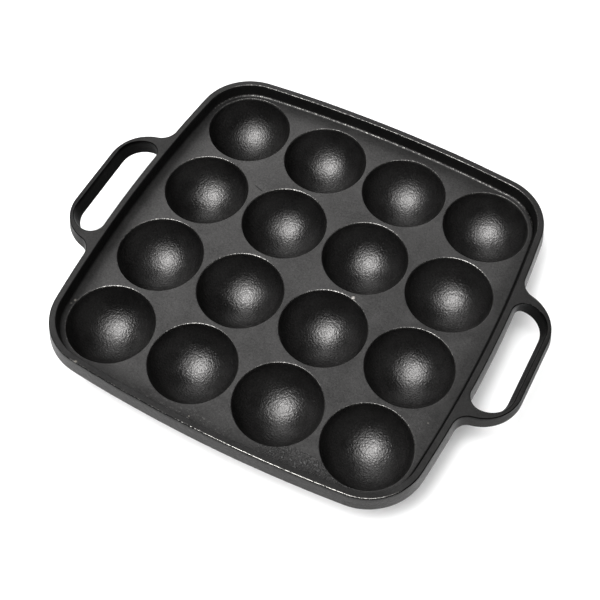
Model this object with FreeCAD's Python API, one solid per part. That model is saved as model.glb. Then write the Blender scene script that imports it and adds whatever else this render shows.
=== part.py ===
import FreeCAD, Part
import math
import os
from FreeCAD import Vector

# Cast-iron takoyaki pan: a square tray with sixteen hemispherical wells, a low
# raised rim all round, and a loop handle on each of two opposite sides.
# +Z is up, +X runs towards the right handle. The origin is on the surface that
# the pan stands on, below the middle of the plate. All sizes are millimetres.

# ---- driving dimensions ------------------------------------------------------
PITCH = 47.0            # well to well, both ways
WELLS = 4               # wells in a row and rows in the grid
WELL_R = 22.0           # inside radius of a well, centred on the plate's top
LIP_R = 0.7             # rounding where a well meets the plate
WALL = 3.2              # wall of a well
WEB_FILLET = 3.0        # rounding between a well's outside and the plate
PAD_R = 6.5             # flat pad under each well
PAD_H = 0.6             # how far the pad stands below the bowl
PLATE_T = 2.8           # thickness of the plate between the wells
RIM_H = 7.3             # rim above the plate's top
HALF = 103.2            # middle of a side to the centre, at the top of the rim
CORNER_C = 70.4         # corner arcs are centred at (+-CORNER_C, +-CORNER_C)
CORNER_R = 29.3         # corner arc's radius at the top of the rim
DRAFT = 0.145           # outward lean of the outside walls, mm per mm of drop
RIM_TOP_W = 3.4         # rim's top, outer edge to inner edge
RIM_IN_LEAN = 1.1       # how far the inside wall runs in on its way down
RIM_IN_FILLET = 1.3     # rounding between the inside wall and the plate
RIM_EDGE = 0.7          # rounding of the rim's and handles' top edges
SKIRT_EDGE = 1.0        # rounding of the bottom outer edge
RIM_SEAM = 6.0          # plate section ends this far inside the rim's outer edge
HAND_SEAM = 0.4         # a handle's section starts this far outside the wall
HAND_X = 125.1          # centre to a handle's outer face, at the rim's top level
HAND_R = 20.9           # handle's big outer corners
HAND_Y = 17.0           # those corners' centres, from the middle of the side
HAND_ROOT_R = 8.7       # hollow corners where a handle runs into the side
HAND_DROP = 1.0         # handle's top at its outer face, below the rim's top
HAND_BOT = -1.1         # handle's underside, from the plate's top
INNER_EDGE = 0.5        # rounding of the rim's inside top edge
OPEN_X_TOP = 122.8      # handle opening's outer side at the rim's top level
OPEN_LEAN = 0.34        # inward lean of that side, mm per mm of drop
OPEN_Y = 32.2           # half length of the opening
OPEN_Y_LEAN = 0.065     # its ends lean in too
OPEN_R = 12.7           # opening's big outer corners

PLATE_TOP = WELL_R + WALL + PAD_H          # height of the cooking surface
RIM_TOP = PLATE_TOP + RIM_H
PLATE_BOT = PLATE_TOP - PLATE_T

# side arcs are tangent to the corner arcs: centre (-SIDE_K, 0), radius SIDE_R
SIDE_K = (2 * CORNER_C ** 2 - (HALF - CORNER_R) ** 2) / (2 * (HALF - CORNER_R - CORNER_C))
SIDE_R = HALF + SIDE_K
SIDE_A = math.atan2(CORNER_C, CORNER_C + SIDE_K)


def arc(cx, cy, r, a0, a1, z):
    """Arc about (cx, cy) from angle a0 to a1 (radians) at height z."""
    am = 0.5 * (a0 + a1)
    pts = [Vector(cx + r * math.cos(a), cy + r * math.sin(a), z) for a in (a0, am, a1)]
    return Part.Arc(*pts).toShape()


def pan_wire(d, z):
    """The pan's outline, offset outwards by d, at height z."""
    edges = []
    for q in range(4):
        b = q * math.pi / 2
        cx, cy = -SIDE_K * math.cos(b), -SIDE_K * math.sin(b)
        edges.append(arc(cx, cy, SIDE_R + d, b - SIDE_A, b + SIDE_A, z))
        kx = CORNER_C * (math.cos(b) - math.sin(b))
        ky = CORNER_C * (math.sin(b) + math.cos(b))
        edges.append(arc(kx, ky, CORNER_R + d, b + SIDE_A, b + math.pi / 2 - SIDE_A, z))
    return Part.Wire(edges)


def loft(w0, w1):
    return Part.makeLoft([w0, w1], True, True)


def lean(z):
    """Outward offset of the outside walls at height z."""
    return DRAFT * (RIM_TOP - z)


def root_centre():
    """Centre of the hollow root corner: tangent to the side and to the big corner."""
    c1x, c1y = HAND_X - HAND_R, HAND_Y
    lo, hi = 40.0, 52.0
    for _ in range(60):
        y = 0.5 * (lo + hi)
        x = -SIDE_K + math.sqrt((SIDE_R + HAND_ROOT_R) ** 2 - y * y)
        if math.hypot(x - c1x, y - c1y) < HAND_R + HAND_ROOT_R:
            lo = y
        else:
            hi = y
    return x, y


ROOT_X, ROOT_Y = root_centre()


def handle_wire(z):
    """Outer outline of the right handle, closed by a line inside the pan."""
    d = lean(z)
    c1x, c1y = HAND_X - HAND_R, HAND_Y
    r1, r2 = HAND_R + d, HAND_ROOT_R - d
    a_in = math.atan2(ROOT_Y - c1y, ROOT_X - c1x)          # towards the root corner
    a_side = math.atan2(ROOT_Y, ROOT_X + SIDE_K)           # side arc to the root corner
    xo = HAND_X + d
    top_tan = Vector(ROOT_X - r2 * math.cos(a_side), ROOT_Y - r2 * math.sin(a_side), z)
    bot_tan = Vector(top_tan.x, -top_tan.y, z)
    x_in = 96.0
    e = []
    e.append(Part.makeLine(Vector(x_in, bot_tan.y, z), bot_tan))
    e.append(arc(ROOT_X, -ROOT_Y, r2, math.pi - a_side, math.pi - a_in, z))
    e.append(arc(c1x, -c1y, r1, -a_in, 0.0, z))
    e.append(Part.makeLine(Vector(xo, -c1y, z), Vector(xo, c1y, z)))
    e.append(arc(c1x, c1y, r1, 0.0, a_in, z))
    e.append(arc(ROOT_X, ROOT_Y, r2, math.pi + a_in, math.pi + a_side, z))
    e.append(Part.makeLine(top_tan, Vector(x_in, top_tan.y, z)))
    e.append(Part.makeLine(Vector(x_in, top_tan.y, z), Vector(x_in, bot_tan.y, z)))
    return Part.Wire(e)


def opening_wire(z):
    """Outline of the right handle's opening; its inner side is the pan's wall."""
    d = lean(z)
    drop = RIM_TOP - z
    xo = OPEN_X_TOP - OPEN_LEAN * drop
    yh = OPEN_Y - OPEN_Y_LEAN * drop
    ro = OPEN_R
    cxo = xo - ro
    lo, hi = 0.1, 12.0
    for _ in range(60):
        ri = 0.5 * (lo + hi)
        x = -SIDE_K + math.sqrt((SIDE_R + d + ri) ** 2 - (yh - ri) ** 2)
        if x < cxo:
            lo = ri
        else:
            hi = ri
    cyi = yh - ri
    a = math.atan2(cyi, cxo + SIDE_K)
    e = []
    e.append(arc(-SIDE_K, 0.0, SIDE_R + d, -a, a, z))
    e.append(arc(cxo, cyi, ri, math.pi + a, math.pi / 2, z))
    e.append(arc(cxo, yh - ro, ro, math.pi / 2, 0.0, z))
    e.append(Part.makeLine(Vector(xo, yh - ro, z), Vector(xo, -(yh - ro), z)))
    e.append(arc(cxo, -(yh - ro), ro, 0.0, -math.pi / 2, z))
    e.append(arc(cxo, -cyi, ri, -math.pi / 2, -math.pi - a, z))
    return Part.Wire(e)


# ---- the whole casting, before it is divided into its sections ---------------
z_hb = PLATE_TOP + HAND_BOT
pan = loft(pan_wire(lean(PLATE_BOT), PLATE_BOT), pan_wire(0.0, RIM_TOP))
hand = loft(handle_wire(z_hb), handle_wire(RIM_TOP + 1.0))
# the handle's top falls away slightly from the rim to the outer face
slope = math.atan2(HAND_DROP, HAND_X - HALF)
wedge = Part.makeBox(60.0, 200.0, 20.0, Vector(0.0, -100.0, 0.0))
wedge.rotate(Vector(0, 0, 0), Vector(0, 1, 0), math.degrees(slope))
wedge.translate(Vector(HALF + 0.2, 0, RIM_TOP))
hand = hand.cut(wedge)
hand = hand.cut(Part.makeBox(40.0, 200.0, 20.0, Vector(80.0, -100.0, RIM_TOP)))
hole = loft(opening_wire(z_hb - 1.0), opening_wire(RIM_TOP + 2.0))
hand = hand.cut(hole)
hand_l = hand.mirror(Vector(0, 0, 0), Vector(1, 0, 0))

body = pan.fuse([hand, hand_l]).removeSplitter()
tray = loft(pan_wire(-RIM_TOP_W - RIM_IN_LEAN, PLATE_TOP),
            pan_wire(-RIM_TOP_W + RIM_IN_LEAN / RIM_H, RIM_TOP + 1.0))
body = body.cut(tray)


def edge_kind(shape, edge):
    """Upward parts of the normals of the two faces at an edge's middle, sorted."""
    p = edge.valueAt(0.5 * (edge.FirstParameter + edge.LastParameter))
    kind = []
    for f in shape.ancestorsOfType(edge, Part.Face):
        u, v = f.Surface.parameter(p)
        kind.append(f.normalAt(u, v).z)
    return sorted(kind)


def pick(shape, want):
    """Edges between a level face and an upright one, where want(kind, box) holds."""
    found = []
    for e in shape.Edges:
        k = edge_kind(shape, e)
        if len(k) == 2 and want(k, e.BoundBox):
            found.append(e)
    return found


def reach(b):
    return max(abs(b.XMin), abs(b.YMin), abs(b.XMax), abs(b.YMax))


def up(k):
    return k[1] > 0.9 and abs(k[0]) < 0.5


def down(k):
    return k[0] < -0.9 and abs(k[1]) < 0.5


def round_edges(shape, radius, want):
    return shape.makeFillet(radius, pick(shape, want))


IN_TOP = HALF - RIM_TOP_W + 0.05      # nothing inside the tray reaches further out
body = round_edges(body, SKIRT_EDGE, lambda k, b: down(k) and b.ZMax < PLATE_BOT + 0.1)
body = round_edges(body, RIM_EDGE, lambda k, b: up(k) and b.ZMin > RIM_TOP - 2.0 and reach(b) > IN_TOP - 0.4
                   and not (b.ZMin > RIM_TOP - 0.1 and reach(b) < IN_TOP))
body = round_edges(body, INNER_EDGE, lambda k, b: up(k) and b.ZMin > RIM_TOP - 0.1 and reach(b) < IN_TOP)
body = round_edges(body, RIM_IN_FILLET, lambda k, b: up(k) and abs(b.ZMax - PLATE_TOP) < 0.1)

# ---- sections of the casting, which meet face to face ------------------------
seam = Part.Face(pan_wire(-RIM_SEAM, PLATE_BOT - 1.0)).extrude(Vector(0, 0, PLATE_T + 2.0))
slab = body.common(seam)
edge = body.cut(seam)
shell = loft(pan_wire(lean(PLATE_BOT - 1.0) + HAND_SEAM, PLATE_BOT - 1.0),
             pan_wire(lean(RIM_TOP + 1.0) + HAND_SEAM, RIM_TOP + 1.0))
rim = edge.common(shell)
handles = edge.cut(shell)


def revolve(points, x, y):
    """Solid of revolution about the vertical line through (x, y). points holds
    (r, z) corners, with z from the plate's top; a third item pair is the middle
    point of an arc from the corner before."""
    edges = []
    prev = None
    for p in points:
        here = Vector(p[0], 0, PLATE_TOP + p[1])
        if prev is not None:
            if len(p) == 4:
                edges.append(Part.Arc(prev, Vector(p[2], 0, PLATE_TOP + p[3]), here).toShape())
            else:
                edges.append(Part.makeLine(prev, here))
        prev = here
    face = Part.Face(Part.Wire(edges))
    solid = face.revolve(Vector(0, 0, 0), Vector(0, 0, 1), 360)
    solid.translate(Vector(x, y, 0))
    return solid


def on_sphere(r, z):
    return math.sqrt(r * r - z * z)


# mouth of a well: the upper part of the hemisphere and its rounded lip
lip_x = on_sphere(WELL_R + LIP_R, LIP_R)
lip_t = (WELL_R / (WELL_R + LIP_R) * lip_x, -WELL_R / (WELL_R + LIP_R) * LIP_R)
lip_m = (lip_x - LIP_R * math.cos(math.radians(45)), -LIP_R + LIP_R * math.sin(math.radians(45)))
z_cut = -PLATE_T - 1.0
z_mid = 0.5 * (z_cut + lip_t[1])
mouth = [(0, 2.0), (0, z_cut), (on_sphere(WELL_R, z_cut), z_cut),
         (lip_t[0], lip_t[1], on_sphere(WELL_R, z_mid), z_mid),
         (lip_x, 0.0, lip_m[0], lip_m[1]), (lip_x, 2.0), (0, 2.0)]

# bowl below the plate, with the rounding into the plate and the pad it stands on
OUT_R = WELL_R + WALL
web_z = -PLATE_T - WEB_FILLET
web_x = on_sphere(OUT_R + WEB_FILLET, web_z)
web_t = (OUT_R / (OUT_R + WEB_FILLET) * web_x, OUT_R / (OUT_R + WEB_FILLET) * web_z)
a0 = math.atan2(-web_z, -web_x)
a1 = math.pi / 2
am = 0.5 * (a0 + a1)
web_m = (web_x + WEB_FILLET * math.cos(am), web_z + WEB_FILLET * math.sin(am))
pad_z = -on_sphere(OUT_R, PAD_R)
bowl_a = 0.5 * (math.atan2(pad_z, PAD_R) + math.atan2(web_t[1], web_t[0]))
in_a = 0.5 * (-math.pi / 2 + math.asin(-PLATE_T / WELL_R))
bowl = [(0, -WELL_R), (0, -PLATE_TOP), (PAD_R - 0.3, -PLATE_TOP), (PAD_R, -PLATE_TOP + 0.3), (PAD_R, pad_z),
        (web_t[0], web_t[1], OUT_R * math.cos(bowl_a), OUT_R * math.sin(bowl_a)),
        (web_x, -PLATE_T, web_m[0], web_m[1]),
        (on_sphere(WELL_R, PLATE_T), -PLATE_T),
        (0, -WELL_R, WELL_R * math.cos(in_a), WELL_R * math.sin(in_a))]

wells = {}
mouths = []
first = -0.5 * (WELLS - 1) * PITCH
for row in range(WELLS):
    for col in range(WELLS):
        x = first + col * PITCH
        y = -first - row * PITCH
        mouths.append(revolve(mouth, x, y))
        solid = revolve(bowl, x, y)
        x0 = x - (0.5 * PITCH if col else 40.0)
        x1 = x + (0.5 * PITCH if col < WELLS - 1 else 40.0)
        y0 = y - (0.5 * PITCH if row < WELLS - 1 else 40.0)
        y1 = y + (0.5 * PITCH if row else 40.0)
        cell = Part.makeBox(x1 - x0, y1 - y0, PLATE_TOP + 4.0, Vector(x0, y0, -2.0))
        wells["well_%s%d" % ("abcd"[row], col + 1)] = solid.common(cell)

plate = slab.cut(mouths)


def one(shape):
    solids = shape.Solids
    assert len(solids) == 1, [(round(s.Volume, 3), s.BoundBox) for s in solids]
    return solids[0]


nodes = {"cooking_plate": one(plate), "rim": one(rim)}
right = [s for s in handles.Solids if s.CenterOfMass.x > 0]
left = [s for s in handles.Solids if s.CenterOfMass.x < 0]
assert len(right) == 1 and len(left) == 1, (len(left), len(right))
nodes["handle_left"] = left[0]
nodes["handle_right"] = right[0]
for name, solid in wells.items():
    nodes[name] = one(solid)

os.makedirs("parts", exist_ok=True)
total = 0.0
for name, solid in nodes.items():
    assert solid.isValid(), name
    solid.exportStep("parts/" + name + ".step")
    total += solid.Volume
    b = solid.BoundBox
    print("%-14s %9.0f mm3  %7.2f %7.2f %6.2f  %7.2f %7.2f %6.2f"
          % (name, solid.Volume, b.XMin, b.YMin, b.ZMin, b.XMax, b.YMax, b.ZMax))
print("total %.0f mm3, %.2f kg as cast iron" % (total, total * 7.2e-6))
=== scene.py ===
import math

import bmesh
import bpy
import numpy as np
from mathutils import Matrix, Vector, noise
from mathutils.geometry import delaunay_2d_cdt


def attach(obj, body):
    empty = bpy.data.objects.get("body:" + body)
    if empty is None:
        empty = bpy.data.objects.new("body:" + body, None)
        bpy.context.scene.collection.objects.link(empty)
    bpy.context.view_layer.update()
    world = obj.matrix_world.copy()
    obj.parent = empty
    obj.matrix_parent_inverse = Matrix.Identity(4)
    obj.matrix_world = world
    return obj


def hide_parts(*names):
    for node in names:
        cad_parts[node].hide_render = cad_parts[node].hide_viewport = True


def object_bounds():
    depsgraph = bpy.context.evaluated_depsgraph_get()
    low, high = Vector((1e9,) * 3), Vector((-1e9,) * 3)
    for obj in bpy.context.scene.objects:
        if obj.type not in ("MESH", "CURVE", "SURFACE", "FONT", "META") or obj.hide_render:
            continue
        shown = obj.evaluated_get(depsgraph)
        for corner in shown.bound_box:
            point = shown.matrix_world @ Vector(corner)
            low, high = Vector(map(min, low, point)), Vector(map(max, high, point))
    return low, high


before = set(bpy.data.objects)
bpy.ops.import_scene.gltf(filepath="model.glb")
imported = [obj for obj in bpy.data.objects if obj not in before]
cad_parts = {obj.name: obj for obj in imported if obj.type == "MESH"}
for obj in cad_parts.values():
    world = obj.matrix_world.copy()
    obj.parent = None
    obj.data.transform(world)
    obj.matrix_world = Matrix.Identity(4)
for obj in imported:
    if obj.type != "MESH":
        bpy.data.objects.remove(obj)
cad_lo, cad_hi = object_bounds()

# =============================================================================
# The casting's shape, in millimetres. Heights here are from the plate's top.
# =============================================================================
PITCH = 47.0
WELLS = 4
WELL_R = 22.0
LIP_R = 0.7
WALL = 3.2
WEB_FILLET = 3.0
PAD_R = 6.5
PAD_H = 0.6
PLATE_T = 2.8
RIM_H = 7.3
HALF = 103.2
CORNER_C = 70.4
CORNER_R = 29.3
DRAFT = 0.145
RIM_TOP_W = 3.4
RIM_IN_LEAN = 1.1
RIM_IN_FILLET = 1.3
RIM_EDGE = 0.7
SKIRT_EDGE = 1.0
HAND_X = 125.1
HAND_R = 20.9
HAND_Y = 17.0
HAND_ROOT_R = 8.7
HAND_DROP = 1.0
HAND_BOT = -1.1
INNER_EDGE = 0.5
OPEN_X_TOP = 122.8
OPEN_LEAN = 0.34
OPEN_Y = 32.2
OPEN_Y_LEAN = 0.065
OPEN_R = 12.7
UNDER_EDGE = 1.0        # rounding of a handle's underside, fading out at its roots

PLATE_TOP = WELL_R + WALL + PAD_H
ZB = -PLATE_T
SIDE_K = (2 * CORNER_C ** 2 - (HALF - CORNER_R) ** 2) / (2 * (HALF - CORNER_R - CORNER_C))
SIDE_R = HALF + SIDE_K
SIDE_A = math.atan2(CORNER_C, CORNER_C + SIDE_K)
OUT_R = WELL_R + WALL
WEB_X = math.sqrt((OUT_R + WEB_FILLET) ** 2 - (PLATE_T + WEB_FILLET) ** 2)
SLOPE = HAND_DROP / (HAND_X - HALF)

FIRST = -0.5 * (WELLS - 1) * PITCH
CENTRES = [(FIRST + c * PITCH, -FIRST - r * PITCH) for r in range(WELLS) for c in range(WELLS)]
WELL_NAMES = ["well_%s%d" % ("abcd"[r], c + 1) for r in range(WELLS) for c in range(WELLS)]
NAMES = ["cooking_plate", "rim", "handle_left", "handle_right"] + WELL_NAMES
T_PLATE, T_RIM, T_LEFT, T_RIGHT, T_WELL = 0, 1, 2, 3, 4


def lean(z):
    return DRAFT * (RIM_H - z)


def drop(x):
    """How far the top falls away towards a handle's outer face."""
    s = np.abs(x) - (HALF + 0.2)
    w = 4.0
    return SLOPE * np.where(s < -w, 0.0, np.where(s > w, s, (s + w) ** 2 / (4 * w)))


def root_centre():
    c1x, c1y = HAND_X - HAND_R, HAND_Y
    lo, hi = 40.0, 52.0
    for _ in range(60):
        y = 0.5 * (lo + hi)
        x = -SIDE_K + math.sqrt((SIDE_R + HAND_ROOT_R) ** 2 - y * y)
        if math.hypot(x - c1x, y - c1y) < HAND_R + HAND_ROOT_R:
            lo = y
        else:
            hi = y
    return x, y


ROOT_X, ROOT_Y = root_centre()
A_IN = math.atan2(ROOT_Y - HAND_Y, ROOT_X - (HAND_X - HAND_R))
A_SIDE = math.atan2(ROOT_Y, ROOT_X + SIDE_K)


# ---- outlines: rows of (x, y, nx, ny), where an offset d is at P + d n ---------
def arc_rows(cx, cy, r, a0, a1, step, out=1.0):
    n = max(1, int(math.ceil(abs(a1 - a0) * r / step - 1e-9)))
    a = np.linspace(a0, a1, n + 1)
    return np.stack([cx + r * np.cos(a), cy + r * np.sin(a), out * np.cos(a), out * np.sin(a)], 1)


def line_rows(x, y0, y1, step):
    n = max(1, int(math.ceil(abs(y1 - y0) / step)))
    y = np.linspace(y0, y1, n + 1)
    return np.stack([np.full(n + 1, x), y, np.ones(n + 1), np.zeros(n + 1)], 1)


def chain(parts):
    """Joins rows end to end; returns them with the index where each part starts."""
    rows, starts = [], []
    n = 0
    for p in parts:
        starts.append(n)
        rows.append(p[:-1])
        n += len(p) - 1
    starts.append(n)
    rows.append(parts[-1][-1:])
    return np.vstack(rows), starts


def turned(rows, quarter):
    c, s = [(1, 0), (0, 1), (-1, 0), (0, -1)][quarter]
    m = np.array([[c, s], [-s, c]], float)
    out = rows.copy()
    out[:, 0:2] = rows[:, 0:2] @ m
    out[:, 2:4] = rows[:, 2:4] @ m
    return out


def side_rows(a0, a1, step):
    return arc_rows(-SIDE_K, 0.0, SIDE_R, a0, a1, step)


def corner_rows(step):
    return arc_rows(CORNER_C, CORNER_C, CORNER_R, SIDE_A, math.pi / 2 - SIDE_A, step)


STEP = 1.5
SEAM_TURN = 0.31        # where on a root corner the handle's section starts
root_lo0 = arc_rows(ROOT_X, -ROOT_Y, HAND_ROOT_R, math.pi - A_SIDE, math.pi - A_SIDE - SEAM_TURN, 0.9, -1.0)
root_lo1 = arc_rows(ROOT_X, -ROOT_Y, HAND_ROOT_R, math.pi - A_SIDE - SEAM_TURN, math.pi - A_IN, 0.9, -1.0)
hand_rows, hand_starts = chain([
    root_lo0, root_lo1,
    arc_rows(HAND_X - HAND_R, -HAND_Y, HAND_R, -A_IN, 0.0, 1.1),
    line_rows(HAND_X, -HAND_Y, HAND_Y, 1.5),
    arc_rows(HAND_X - HAND_R, HAND_Y, HAND_R, 0.0, A_IN, 1.1),
    root_lo1[::-1] * [1, -1, 1, -1],
    root_lo0[::-1] * [1, -1, 1, -1],
])
free_rows = side_rows(A_SIDE, SIDE_A, STEP)
top_side = turned(side_rows(-SIDE_A, SIDE_A, STEP), 1)
corner_a = corner_rows(1.1)

# the outline with both handles, anticlockwise from the right handle's lower root
half_rows, half_starts = chain([
    hand_rows, free_rows, corner_a, top_side, turned(corner_a, 1), turned(free_rows[::-1] * [1, -1, 1, -1], 2),
])
OUTER = np.vstack([half_rows[:-1], turned(half_rows, 2)[:-1]])
N_HALF = len(half_rows) - 1
N_OUT = len(OUTER)
HAND_N = len(hand_rows) - 1
OUT_SEAMS = (hand_starts[1], hand_starts[6])     # columns of the handle's section

# ---- the pan's own outline, for the tray side ---------------------------------
quarter, _ = chain([side_rows(-SIDE_A, SIDE_A, STEP), corner_rows(1.1)])
INNER = np.vstack([turned(quarter[:-1], q) for q in range(4)])
N_IN = len(INNER)

# ---- a handle's opening --------------------------------------------------------
N_OPEN = (36, 3, 8, 18, 26, 18, 8, 3)            # inner side, then round the far side
OPEN_TURN = 0.33


def opening(z):
    """Points and normals into the opening at height z, from the lower inner corner."""
    d = lean(z)
    fall = RIM_H - z
    xo = OPEN_X_TOP - OPEN_LEAN * fall
    yh = OPEN_Y - OPEN_Y_LEAN * fall
    ro = OPEN_R
    cxo = xo - ro
    lo, hi = 0.1, 12.0
    for _ in range(60):
        ri = 0.5 * (lo + hi)
        x = -SIDE_K + math.sqrt((SIDE_R + d + ri) ** 2 - (yh - ri) ** 2)
        if x < cxo:
            lo = ri
        else:
            hi = ri
    cyi = yh - ri
    a = math.atan2(cyi, cxo + SIDE_K)

    def piece(cx, cy, r, a0, a1, n, out):
        t = np.linspace(a0, a1, n + 1)
        return np.stack([cx + r * np.cos(t), cy + r * np.sin(t), out * np.cos(t), out * np.sin(t)], 1)

    yl = yh - ro
    line = np.stack([np.full(N_OPEN[4] + 1, xo), np.linspace(yl, -yl, N_OPEN[4] + 1),
                     -np.ones(N_OPEN[4] + 1), np.zeros(N_OPEN[4] + 1)], 1)
    up = [piece(cxo, cyi, ri, math.pi + a, math.pi + a - OPEN_TURN, N_OPEN[1], -1.0),
          piece(cxo, cyi, ri, math.pi + a - OPEN_TURN, math.pi / 2, N_OPEN[2], -1.0),
          piece(cxo, yl, ro, math.pi / 2, 0.0, N_OPEN[3], -1.0)]
    down = [p[::-1] * [1, -1, 1, -1] for p in up[::-1]]
    rows, starts = chain([piece(-SIDE_K, 0.0, SIDE_R + d, -a, a, N_OPEN[0], 1.0), *up, line, *down])
    return rows[:-1], starts, a


_, OPEN_STARTS, A_OPEN = opening(HAND_BOT)
N_OP = OPEN_STARTS[-1]
OPEN_SEAMS = (OPEN_STARTS[2], OPEN_STARTS[7])


# ---- net of patches -------------------------------------------------------------
class Net:
    def __init__(self):
        self.points, self.quads, self.tris = [], [], []
        self.quad_tags, self.tri_tags = [], []
        self.n = 0

    def add(self, p):
        p = np.asarray(p, float).reshape(-1, 3)
        self.points.append(p)
        start = self.n
        self.n += len(p)
        return start

    def grid(self, p, tags, wrap=True):
        """Quads over rows x columns of points. tags: one number, or one per column."""
        r, c, _ = p.shape
        start = self.add(p)
        cols = c if wrap else c - 1
        i, j = np.meshgrid(np.arange(r - 1), np.arange(cols), indexing="ij")
        j1 = (j + 1) % c
        q = start + np.stack([i * c + j, i * c + j1, (i + 1) * c + j1, (i + 1) * c + j], -1).reshape(-1, 4)
        self.quads.append(q)
        t = np.broadcast_to(np.asarray(tags), (cols,)) if np.ndim(tags) else np.full(cols, tags)
        self.quad_tags.append(np.broadcast_to(t, (r - 1, cols)).reshape(-1))

    def fan(self, middle, ring, tag):
        start = self.add(np.vstack([[middle], ring]))
        n = len(ring)
        k = np.arange(n)
        self.tris.append(start + np.stack([np.zeros(n, int), 1 + k, 1 + (k + 1) % n], 1))
        self.tri_tags.append(np.full(n, tag))

    def triangles(self, p, tris, tags):
        start = self.add(p)
        self.tris.append(start + np.asarray(tris))
        self.tri_tags.append(np.asarray(tags))


def keys(p):
    return np.floor(p / 2e-3 + 0.31831).astype(np.int64)


def inside(poly, pts):
    """Which points lie inside a closed polygon."""
    hit = np.zeros(len(pts), bool)
    x, y = pts[:, 0][:, None], pts[:, 1][:, None]
    a, b = poly, np.roll(poly, -1, 0)
    for k in range(0, len(poly), 400):
        ax, ay, bx, by = a[k:k + 400, 0], a[k:k + 400, 1], b[k:k + 400, 0], b[k:k + 400, 1]
        cross = (ay > y) != (by > y)
        with np.errstate(divide="ignore", invalid="ignore"):
            xs = (bx - ax) * (y - ay) / (by - ay) + ax
        hit ^= (np.sum(cross & (x < xs), 1) % 2).astype(bool)
    return hit


def nearest(pts, others):
    """Distance from each point to the nearest of the others."""
    out = np.empty(len(pts))
    for k in range(0, len(pts), 500):
        d = pts[k:k + 500, None, :] - others[None, :, :]
        out[k:k + 500] = np.sqrt((d ** 2).sum(-1).min(1))
    return out


def hexes(x0, x1, y0, y1, s):
    rows = []
    h = s * math.sqrt(3) / 2
    for k, y in enumerate(np.arange(y0, y1, h)):
        x = np.arange(x0 + (0.5 * s if k % 2 else 0), x1, s)
        rows.append(np.stack([x, np.full(len(x), y)], 1))
    return np.vstack(rows)


def flat_mesh(loops, chains, extra, keep):
    """Delaunay triangles over loops (closed), chains (open) and extra points;
    keep(centroids) says which triangles stay. Returns points (n, 2) and triangles."""
    pts, edges = [], []
    n = 0
    for k, loop in enumerate(list(loops) + list(chains)):
        m = len(loop)
        pts.append(loop)
        i = np.arange(m if k < len(loops) else m - 1)
        edges.append(np.stack([n + i, n + (i + 1) % m], 1))
        n += m
    if len(extra):
        pts.append(extra)
    pts = np.vstack(pts)
    edges = np.vstack(edges)
    # points that coincide are given once
    _, first, inverse = np.unique(keys(pts), axis=0, return_index=True, return_inverse=True)
    inverse = inverse.reshape(-1)
    order = np.sort(first)
    place = {f: k for k, f in enumerate(order)}
    pts1 = pts[order]
    remap = np.array([place[first[g]] for g in inverse])
    edges = remap[edges]
    edges = edges[edges[:, 0] != edges[:, 1]]
    edges = np.unique(np.sort(edges, 1), axis=0)
    co, _, faces, orig, _, _ = delaunay_2d_cdt(
        [Vector((float(x), float(y))) for x, y in pts1], [(int(a), int(b)) for a, b in edges], [], 0, 1e-5)
    back = np.array([o[0] if o else -1 for o in orig])
    made = back < 0
    if made.any():
        print("flat_mesh: new points", int(made.sum()), [tuple(co[int(k)]) for k in np.nonzero(made)[0][:6]])
    out = np.array([pts1[b] if b >= 0 else (co[k][0], co[k][1]) for k, b in enumerate(back)])
    tris = np.array([list(f) for f in faces], int)
    mid = out[tris].mean(1)
    tris = tris[keep(mid)]
    return out, tris


net = Net()

# ---- outer walls of the rim and the handles ------------------------------------
AL = math.atan(DRAFT)
TOP_PHI = np.linspace(0.0, math.pi / 2 - AL, 6)


def fade(dist, reach=7.0):
    t = np.clip(dist / reach, 0, 1)
    return t * t * (3 - 2 * t)


def run_length(rows):
    return np.concatenate([[0], np.cumsum(np.hypot(*np.diff(rows[:, :2], axis=0).T))])


def wall_rings(at, normal, top, leans, under):
    """Rings of a wall from the top's flat to the handle's underside level.
    at(z): points of the wall at heights z (one per column). normal: into the open.
    leans: tan of each column's lean. under: each column's underside rounding, 0 for none."""
    rings = []
    al = np.arctan(leans)
    xc = -RIM_EDGE * (1 - np.sin(al)) / np.cos(al)
    edge = at(np.full(len(normal), RIM_H))
    for k in range(6):
        phi = (math.pi / 2 - al) * k / 5
        zr = -RIM_EDGE + RIM_EDGE * np.cos(phi)
        off = xc + RIM_EDGE * np.sin(phi)
        x = edge[:, 0] + normal[:, 0] * off
        for _ in range(3):
            zt = RIM_H - drop(x)
            z = zt + zr
            p = at(z) + normal * (off - leans * (zt - z))[:, None]
            x = p[:, 0]
        rings.append(np.column_stack([p, z]))
    z_e = rings[-1][:, 2]
    plain = under <= 0
    rho = np.where(plain, UNDER_EDGE, under)
    z_l = np.where(plain, HAND_BOT + UNDER_EDGE, HAND_BOT + rho * (1 + np.sin(al)))
    for f in (0.25, 0.5, 0.75):
        z = z_e + (z_l - z_e) * f
        rings.append(np.column_stack([at(z), z]))
    low = at(np.full(len(normal), HAND_BOT))
    for j in range(5):
        beta = al + (-math.pi / 2 - al) * j / 4
        z_r = HAND_BOT + rho + rho * np.sin(beta)
        off = -rho * (1 + np.sin(al)) / np.cos(al) + rho * np.cos(beta)
        p_r = low + normal * off[:, None]
        z_p = HAND_BOT + UNDER_EDGE * (1 - j / 4)
        p_p = at(np.full(len(normal), z_p))
        p = np.where(plain[:, None], p_p, p_r)
        z = np.where(plain, z_p, z_r)
        rings.append(np.column_stack([p, z]))
    return np.array(rings)


def outer_at(z):
    return OUTER[:, :2] + OUTER[:, 2:] * lean(z)[:, None]


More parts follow.
